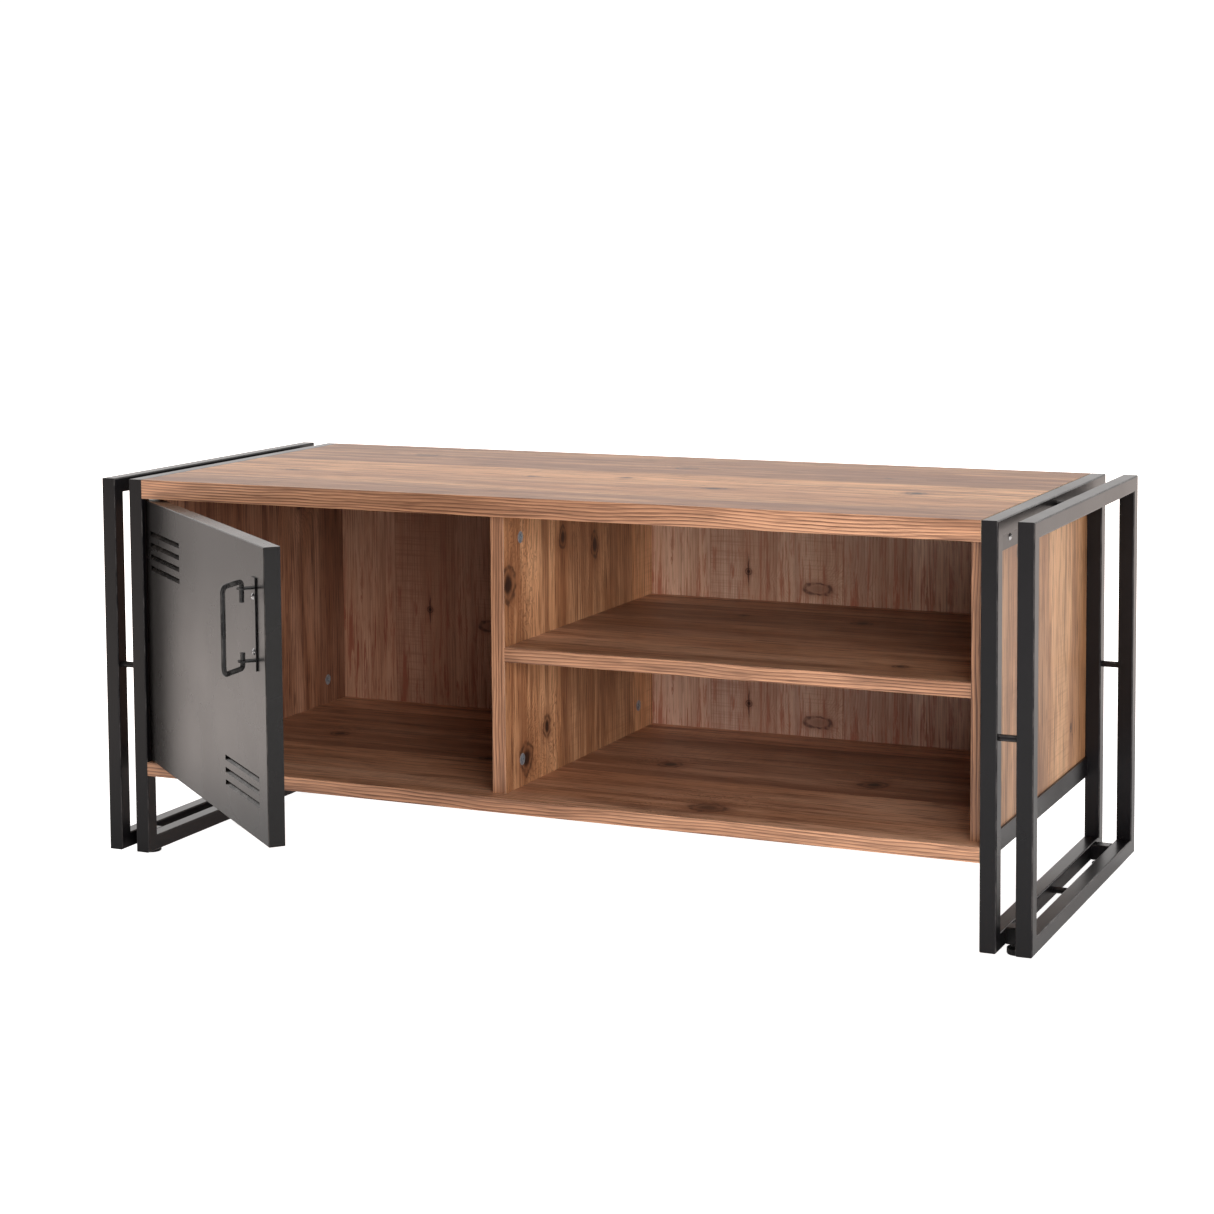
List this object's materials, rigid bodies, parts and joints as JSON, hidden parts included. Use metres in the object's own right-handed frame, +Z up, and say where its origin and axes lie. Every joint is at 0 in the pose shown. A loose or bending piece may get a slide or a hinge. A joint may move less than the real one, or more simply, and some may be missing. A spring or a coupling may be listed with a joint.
{
  "type": "sideboard",
  "caption": "Low open sideboard with a printed-wood carcass, a louvred steel door with a swinging bail handle, and square-tube end frames on screw feet.",
  "frame": {"origin": "middle of the footprint on the floor, taken with the door ajar as it is stored", "axes": "+X to the viewer's right along the length, +Y to the rear, +Z up; the door opens towards -Y"},
  "size_m": [1.25, 0.8692, 0.507],
  "materials": {
    "melamine_board": "printed pine pattern, matt melamine with a fine pressed grain",
    "board_edging": "printed straight-grain edging, matt",
    "back_panel_board": "printed pine pattern, matt",
    "frame_powder_coat": "black satin powder coat",
    "door_powder_coat": "anthracite satin powder coat",
    "handle_black_steel": "black semi-gloss lacquer",
    "bright_screw": "bright plated",
    "zinc_steel": "zinc plated",
    "cam_zinc": "die-cast zinc",
    "dowel_beech": "plain beech",
    "foot_plastic": "black, moulded",
    "bush_nylon": "white nylon",
    "catch_plastic": "white, moulded"
  },
  "bodies": {
    "cabinet": {"top_panel": "melamine_board", "bottom_panel": "melamine_board", "left_side_panel": "melamine_board", "right_side_panel": "melamine_board", "divider_panel": "melamine_board", "shelf_panel": "melamine_board", "top_panel_edging": "board_edging", "bottom_panel_edging": "board_edging", "side_panel_edgings": "board_edging", "divider_edging": "board_edging", "shelf_edging": "board_edging", "back_panel_left": "back_panel_board", "back_panel_upper_right": "back_panel_board", "back_panel_lower_right": "back_panel_board", "cam_housings": "cam_zinc", "cam_bolts": "zinc_steel", "dowels": "dowel_beech", "right_inner_frame_front_post": "frame_powder_coat", "left_inner_frame_front_post": "frame_powder_coat", "right_inner_frame_rear_post": "frame_powder_coat", "left_inner_frame_rear_post": "frame_powder_coat", "right_inner_frame_bottom_rail": "frame_powder_coat", "left_inner_frame_bottom_rail": "frame_powder_coat", "right_inner_frame_top_rail": "frame_powder_coat", "left_inner_frame_top_rail": "frame_powder_coat", "right_outer_frame_front_post": "frame_powder_coat", "left_outer_frame_front_post": "frame_powder_coat", "right_outer_frame_rear_post": "frame_powder_coat", "left_outer_frame_rear_post": "frame_powder_coat", "right_outer_frame_bottom_rail": "frame_powder_coat", "left_outer_frame_bottom_rail": "frame_powder_coat", "right_outer_frame_top_rail": "frame_powder_coat", "left_outer_frame_top_rail": "frame_powder_coat", "right_frame_strips": "frame_powder_coat", "left_frame_strips": "frame_powder_coat", "right_frame_pins": "frame_powder_coat", "left_frame_pins": "frame_powder_coat", "right_foot_tubes": "frame_powder_coat", "left_foot_tubes": "frame_powder_coat", "frame_screws": "bright_screw", "hinge_bushes": "bush_nylon", "magnetic_catch": "catch_plastic"},
    "door": {"door_shell": "door_powder_coat", "door_back_plate": "door_powder_coat", "door_hinge_pins": "zinc_steel", "handle_plate": "handle_black_steel", "handle_screws": "bright_screw"},
    "handle_bail": {"handle_bail": "handle_black_steel"},
    "left_front_foot": {"left_front_foot_pad": "foot_plastic", "left_front_foot_stem": "zinc_steel"},
    "left_rear_foot": {"left_rear_foot_pad": "foot_plastic", "left_rear_foot_stem": "zinc_steel"},
    "right_front_foot": {"right_front_foot_pad": "foot_plastic", "right_front_foot_stem": "zinc_steel"},
    "right_rear_foot": {"right_rear_foot_pad": "foot_plastic", "right_rear_foot_stem": "zinc_steel"}
  },
  "joints": [
    {"name": "door_swing", "type": "hinge", "parent": "cabinet", "child": "door", "pos_m": [-0.55, -0.06541, 0.3075], "axis": [0, 0, -1], "range_deg": [-40.6, 64]},
    {"name": "bail_swing", "type": "hinge", "parent": "door", "child": "handle_bail", "pos_m": [-0.21429, -0.38673, 0.3875], "axis": [0, 0, 1], "range_deg": [-150, 60]},
    {"name": "left_front_foot_screw", "type": "slide", "parent": "cabinet", "child": "left_front_foot", "axis": [0, 0, -1], "range_m": [0, 0.008]},
    {"name": "left_rear_foot_screw", "type": "slide", "parent": "cabinet", "child": "left_rear_foot", "axis": [0, 0, -1], "range_m": [0, 0.008]},
    {"name": "right_front_foot_screw", "type": "slide", "parent": "cabinet", "child": "right_front_foot", "axis": [0, 0, -1], "range_m": [0, 0.008]},
    {"name": "right_rear_foot_screw", "type": "slide", "parent": "cabinet", "child": "right_rear_foot", "axis": [0, 0, -1], "range_m": [0, 0.008]}
  ]
}
